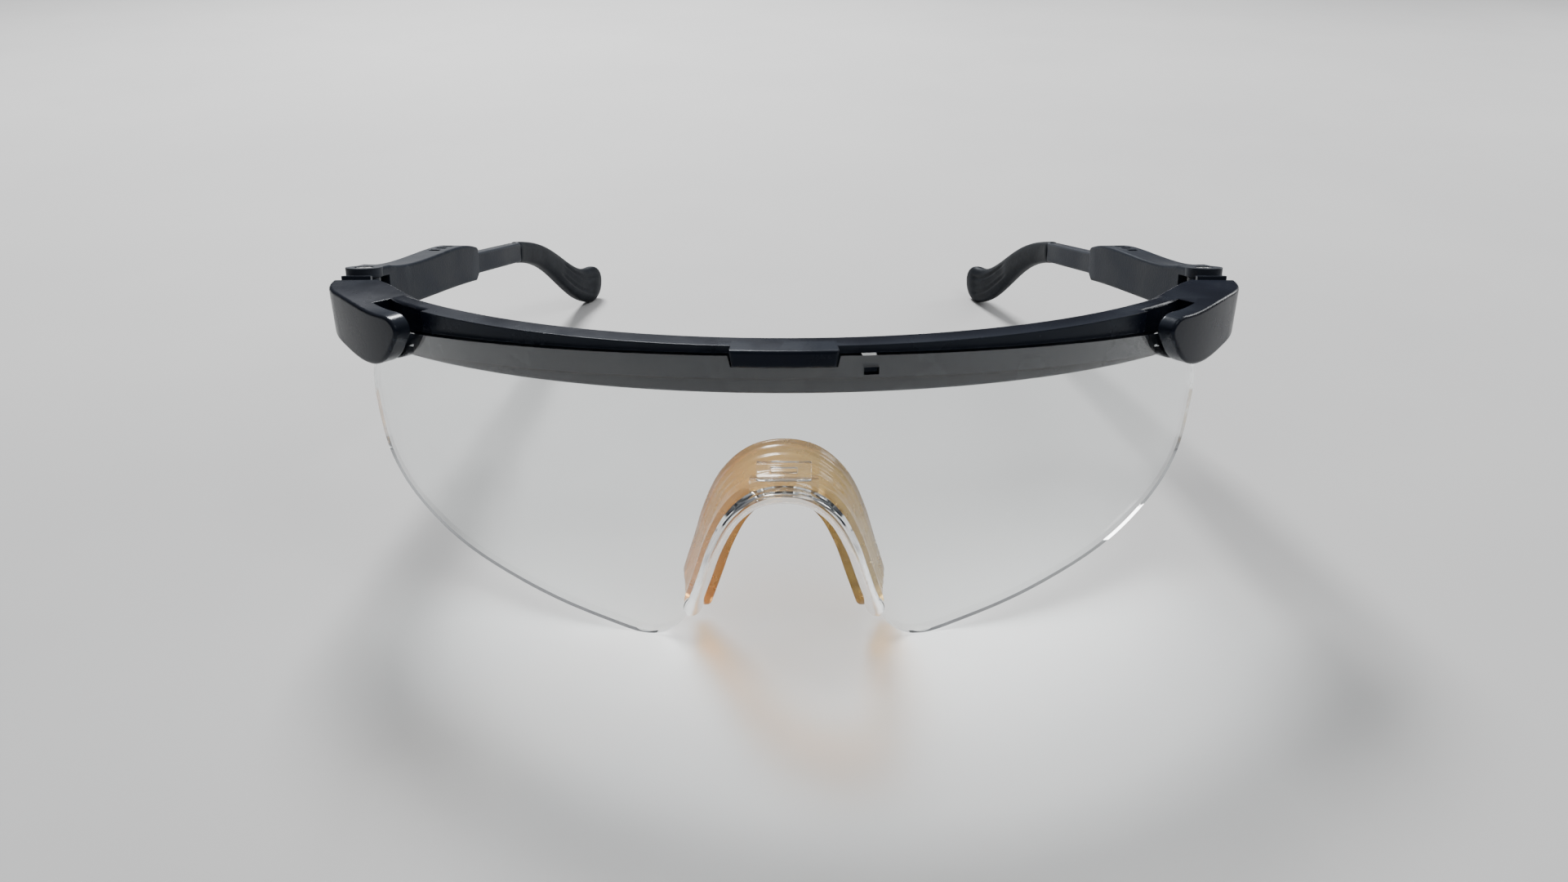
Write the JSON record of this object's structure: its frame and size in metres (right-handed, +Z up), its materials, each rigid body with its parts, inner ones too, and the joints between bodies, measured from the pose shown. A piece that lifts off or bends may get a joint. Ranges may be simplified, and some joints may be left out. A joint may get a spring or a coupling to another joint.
{
  "type": "safety goggles",
  "caption": "Wraparound clear-shield safety eyewear with a black brow frame, a clip-in soft nosepiece and folding temples that adjust in length.",
  "frame": {"origin": "on the floor plane, under the centre of the whole pair's bounding box with both temples open", "axes": "+X towards the right-hand temple seen from the front, +Y back from the lens towards the wearer, +Z up"},
  "size_m": [0.1548, 0.1532, 0.0513],
  "materials": {
    "clear_polycarbonate": "gloss",
    "amber_silicone": "satin",
    "gloss_black_nylon": "gloss",
    "matt_black_nylon": "matte",
    "soft_black_rubber": "matte",
    "bright_steel": "satin",
    "brass_insert": "satin"
  },
  "bodies": {
    "front": {"brow_frame": "gloss_black_nylon", "hinge_block_left": "gloss_black_nylon", "hinge_block_right": "gloss_black_nylon"},
    "lens": {"lens": "clear_polycarbonate"},
    "nosepiece": {"nose_clip": "clear_polycarbonate", "nose_pad": "amber_silicone"},
    "temple_left": {"temple_sleeve_left": "matt_black_nylon", "hinge_screw_left": "bright_steel", "hinge_nut_left": "brass_insert"},
    "arm_left": {"temple_arm_left": "gloss_black_nylon", "temple_tip_left": "soft_black_rubber"},
    "temple_right": {"temple_sleeve_right": "matt_black_nylon", "hinge_screw_right": "bright_steel", "hinge_nut_right": "brass_insert"},
    "arm_right": {"temple_arm_right": "gloss_black_nylon", "temple_tip_right": "soft_black_rubber"}
  },
  "joints": [
    {"name": "lens_release", "type": "slide", "parent": "front", "child": "lens", "axis": [0, -0.0789, -0.9969], "range_m": [0, 0.02]},
    {"name": "nosepiece_release", "type": "slide", "parent": "lens", "child": "nosepiece", "axis": [0, 0.0206, -0.9998], "range_m": [0, 0.03]},
    {"name": "temple_fold_left", "type": "hinge", "parent": "front", "child": "temple_left", "pos_m": [-0.0736, -0.02954, 0.0425], "axis": [0, -0.2508, -0.968], "range_deg": [0, 87]},
    {"name": "temple_length_left", "type": "slide", "parent": "temple_left", "child": "arm_left", "axis": [0.1392, 0.9586, -0.2484], "range_m": [-0.003, 0.006]},
    {"name": "temple_fold_right", "type": "hinge", "parent": "front", "child": "temple_right", "pos_m": [0.0736, -0.02954, 0.0425], "axis": [0, 0.2508, 0.968], "range_deg": [0, 78]},
    {"name": "temple_length_right", "type": "slide", "parent": "temple_right", "child": "arm_right", "axis": [-0.1392, 0.9586, -0.2484], "range_m": [-0.003, 0.006]}
  ]
}
